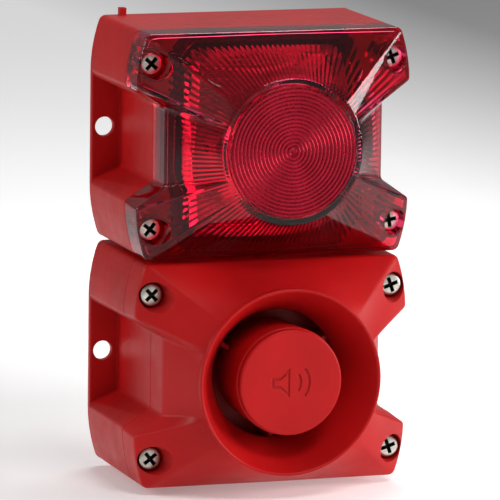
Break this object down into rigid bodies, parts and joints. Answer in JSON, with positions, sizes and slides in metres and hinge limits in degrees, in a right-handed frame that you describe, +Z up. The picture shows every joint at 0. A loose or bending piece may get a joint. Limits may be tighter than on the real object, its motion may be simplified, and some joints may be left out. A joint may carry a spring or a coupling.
{
  "type": "horn strobe",
  "caption": "Wall-mounted alarm unit of two stacked modules: a red-tinted flashing lens above and a folded horn sounder below.",
  "frame": {"origin": "in the wall plane, midway between the two modules' centres, where the wall holds the unit up", "axes": "+Y into the wall (front faces -Y), +X to the right seen from the front, +Z up through both modules"},
  "size_m": [0.134, 0.1043, 0.2209],
  "materials": {
    "red_plastic": "satin moulded",
    "crimson_lens": "clear tinted moulded",
    "black_rubber": "matt",
    "steel": "satin",
    "green_board": "solder-masked",
    "grey_plastic": "satin",
    "blue_plastic": "satin",
    "white_plastic": "satin",
    "black_plastic": "satin",
    "amber_tape": "taped",
    "mirror_reflector": "bright",
    "clear_glass": "clear",
    "dark_ferrite": "sintered",
    "copper_wire": "enamelled winding",
    "amber_film": "thin polyimide film",
    "brass": "plated",
    "black_cable": "sheathed"
  },
  "bodies": {
    "housing": {"strobe_housing": "red_plastic", "sounder_housing": "red_plastic", "strobe_gasket": "black_rubber", "sounder_gasket": "black_rubber", "strobe_board": "green_board", "strobe_board_screw_1": "steel", "strobe_board_screw_2": "steel", "strobe_terminal": "grey_plastic", "flash_rate_switch": "blue_plastic", "flash_capacitor": "black_plastic", "trigger_transformer": "amber_tape", "reflector": "mirror_reflector", "reflector_screw_1": "steel", "reflector_screw_2": "steel", "tube_post_1": "brass", "tube_post_2": "brass", "flash_tube": "clear_glass", "sounder_board": "green_board", "sounder_board_screw_1": "steel", "sounder_board_screw_2": "steel", "supply_terminal": "grey_plastic", "tone_switch": "blue_plastic", "volume_trimmer": "blue_plastic", "audio_transformer": "dark_ferrite", "entry_plug_1": "red_plastic", "entry_plug_2": "red_plastic", "link_nipple": "brass", "link_seal": "black_rubber", "link_nut_lower": "brass", "link_nut_upper": "brass", "link_cable": "black_cable"},
    "lens_cover": {"strobe_lens": "crimson_lens"},
    "horn_cover": {"sounder_cover": "red_plastic", "horn_flare": "red_plastic", "horn_cup": "red_plastic", "horn_throat": "red_plastic", "driver_can": "black_plastic", "driver_yoke": "steel", "driver_magnet": "dark_ferrite", "driver_top_plate": "steel"},
    "diaphragm": {"diaphragm": "amber_film", "voice_coil": "copper_wire"},
    "volume": {"volume_rotor": "white_plastic"},
    "lens_screw_1": {"lens_screw_1": "steel"},
    "cover_screw_1": {"cover_screw_1": "steel"},
    "lens_screw_2": {"lens_screw_2": "steel"},
    "cover_screw_2": {"cover_screw_2": "steel"},
    "lens_screw_3": {"lens_screw_3": "steel"},
    "cover_screw_3": {"cover_screw_3": "steel"},
    "lens_screw_4": {"lens_screw_4": "steel"},
    "cover_screw_4": {"cover_screw_4": "steel"},
    "flash_rate_1": {"flash_rate_slider_1": "white_plastic"},
    "flash_rate_2": {"flash_rate_slider_2": "white_plastic"},
    "tone_1": {"tone_slider_1": "white_plastic"},
    "tone_2": {"tone_slider_2": "white_plastic"},
    "tone_3": {"tone_slider_3": "white_plastic"},
    "tone_4": {"tone_slider_4": "white_plastic"},
    "tone_5": {"tone_slider_5": "white_plastic"}
  },
  "joints": [
    {"name": "lens_lift_off", "type": "slide", "parent": "housing", "child": "lens_cover", "axis": [0, -1, 0], "range_m": [0, 0.05]},
    {"name": "horn_lift_off", "type": "slide", "parent": "housing", "child": "horn_cover", "axis": [0, -1, 0], "range_m": [0, 0.065]},
    {"name": "diaphragm_stroke", "type": "slide", "parent": "horn_cover", "child": "diaphragm", "axis": [0, -1, 0], "range_m": [-0.0003, 0.0003], "stiffness_N_per_m": 4000},
    {"name": "volume_turn", "type": "hinge", "parent": "housing", "child": "volume", "pos_m": [-0.024, -0.0165, -0.062], "axis": [0, -1, 0], "range_deg": [-135, 135]},
    {"name": "lens_screw_1_turn", "type": "hinge", "parent": "lens_cover", "child": "lens_screw_1", "pos_m": [-0.059, -0.069, 0.0928], "axis": [0, 1, 0], "continuous": true},
    {"name": "lens_screw_2_turn", "type": "hinge", "parent": "lens_cover", "child": "lens_screw_2", "pos_m": [0.059, -0.069, 0.0928], "axis": [0, 1, 0], "continuous": true},
    {"name": "lens_screw_3_turn", "type": "hinge", "parent": "lens_cover", "child": "lens_screw_3", "pos_m": [-0.059, -0.069, 0.0152], "axis": [0, 1, 0], "continuous": true},
    {"name": "lens_screw_4_turn", "type": "hinge", "parent": "lens_cover", "child": "lens_screw_4", "pos_m": [0.059, -0.069, 0.0152], "axis": [0, 1, 0], "continuous": true},
    {"name": "cover_screw_1_turn", "type": "hinge", "parent": "horn_cover", "child": "cover_screw_1", "pos_m": [-0.059, -0.073, -0.0152], "axis": [0, 1, 0], "continuous": true},
    {"name": "cover_screw_2_turn", "type": "hinge", "parent": "horn_cover", "child": "cover_screw_2", "pos_m": [0.059, -0.073, -0.0152], "axis": [0, 1, 0], "continuous": true},
    {"name": "cover_screw_3_turn", "type": "hinge", "parent": "horn_cover", "child": "cover_screw_3", "pos_m": [-0.059, -0.073, -0.0928], "axis": [0, 1, 0], "continuous": true},
    {"name": "cover_screw_4_turn", "type": "hinge", "parent": "horn_cover", "child": "cover_screw_4", "pos_m": [0.059, -0.073, -0.0928], "axis": [0, 1, 0], "continuous": true},
    {"name": "flash_rate_1_slide", "type": "slide", "parent": "housing", "child": "flash_rate_1", "axis": [0, 0, 1], "range_m": [0, 0.0018]},
    {"name": "flash_rate_2_slide", "type": "slide", "parent": "housing", "child": "flash_rate_2", "axis": [0, 0, 1], "range_m": [0, 0.0018]},
    {"name": "tone_1_slide", "type": "slide", "parent": "housing", "child": "tone_1", "axis": [0, 0, 1], "range_m": [0, 0.0018]},
    {"name": "tone_2_slide", "type": "slide", "parent": "housing", "child": "tone_2", "axis": [0, 0, 1], "range_m": [0, 0.0018]},
    {"name": "tone_3_slide", "type": "slide", "parent": "housing", "child": "tone_3", "axis": [0, 0, 1], "range_m": [0, 0.0018]},
    {"name": "tone_4_slide", "type": "slide", "parent": "housing", "child": "tone_4", "axis": [0, 0, 1], "range_m": [0, 0.0018]},
    {"name": "tone_5_slide", "type": "slide", "parent": "housing", "child": "tone_5", "axis": [0, 0, 1], "range_m": [0, 0.0018]}
  ]
}
